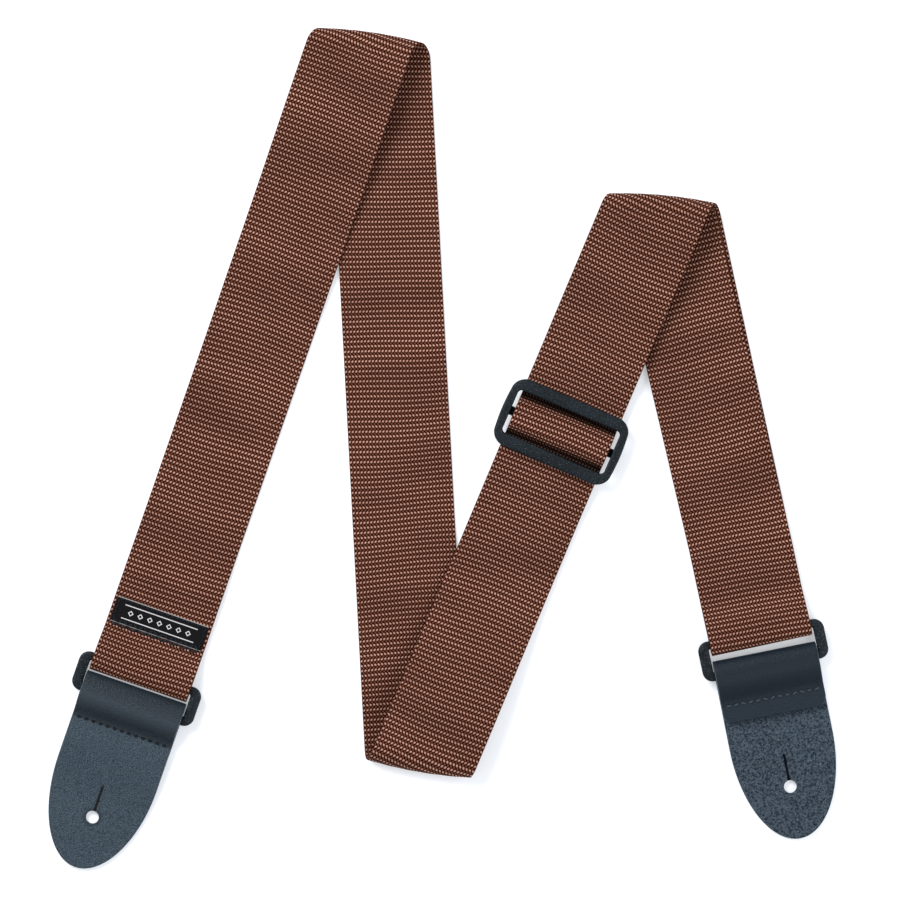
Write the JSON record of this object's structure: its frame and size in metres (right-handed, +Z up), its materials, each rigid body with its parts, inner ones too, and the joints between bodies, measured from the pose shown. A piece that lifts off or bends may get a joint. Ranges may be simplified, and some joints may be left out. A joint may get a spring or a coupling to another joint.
{
  "type": "adjustable strap",
  "caption": "Long woven webbing strap folded flat, with a length slider, a rectangular ring and a leather end with a button hole at each end.",
  "frame": {"origin": "middle of the laid-out strap, on the surface it lies on", "axes": "+Z up from the surface, +Y towards the two upper folds, the strap's longer side along Y"},
  "size_m": [0.3903, 0.416, 0.0151],
  "materials": {
    "webbing": "matt woven",
    "plastic": "moulded, satin",
    "leather": "smooth grain",
    "thread": "matt thread",
    "label": "woven label"
  },
  "bodies": {
    "band": {"webbing_fold_1": "webbing", "webbing_fold_2": "webbing", "webbing_fold_3": "webbing", "webbing_leg_1": "webbing", "webbing_leg_2": "webbing", "webbing_leg_3_lower": "webbing", "webbing_leg_3_upper": "webbing", "webbing_leg_4": "webbing", "webbing_loop_a": "webbing", "webbing_return_fold": "webbing", "webbing_return_leg_3": "webbing", "webbing_return_leg_4": "webbing", "label": "label", "label_stitching": "thread"},
    "slider_carriage": {"slider": "plastic", "webbing_hump": "webbing", "webbing_tail": "webbing", "tail_stitching": "thread"},
    "loop_carriage": {"webbing_loop_b": "webbing"},
    "ring_a_body": {"ring_a": "plastic"},
    "ring_b_body": {"ring_b": "plastic"},
    "leather_a_body": {"leather_end_a": "leather", "leather_stitching_a": "thread"},
    "leather_b_body": {"leather_end_b": "leather", "leather_stitching_b": "thread"}
  },
  "joints": [
    {"name": "slider_travel", "type": "slide", "parent": "band", "child": "slider_carriage", "axis": [0.3864, 0.9223, 0], "range_m": [-0.045, 0.015], "deforming": ["webbing_leg_3_upper", "webbing_return_leg_3", "webbing_leg_3_lower"]},
    {"name": "loop_travel", "type": "slide", "parent": "band", "child": "loop_carriage", "axis": [0.2096, -0.9778, 0], "range_m": [-0.0225, 0.0075], "deforming": ["webbing_return_leg_4", "webbing_leg_4"]},
    {"name": "ring_a_swing", "type": "hinge", "parent": "band", "child": "ring_a_body", "pos_m": [-0.14862, -0.111, 0.0051], "axis": [-0.9447, 0.328, 0], "range_deg": [0, 80]},
    {"name": "leather_a_swing", "type": "hinge", "parent": "ring_a_body", "child": "leather_a_body", "pos_m": [-0.15387, -0.12612, 0.0051], "axis": [-0.9447, 0.328, 0], "range_deg": [0, 70]},
    {"name": "ring_b_swing", "type": "hinge", "parent": "loop_carriage", "child": "ring_b_body", "pos_m": [0.15708, -0.0917, 0.0051], "axis": [-0.9778, -0.2096, 0], "range_deg": [0, 80]},
    {"name": "leather_b_swing", "type": "hinge", "parent": "ring_b_body", "child": "leather_b_body", "pos_m": [0.16044, -0.10735, 0.0051], "axis": [-0.9778, -0.2096, 0], "range_deg": [0, 70]}
  ],
  "couplings": [
    {"joint": "loop_travel", "follows": "slider_travel", "ratio": 0.5}
  ]
}
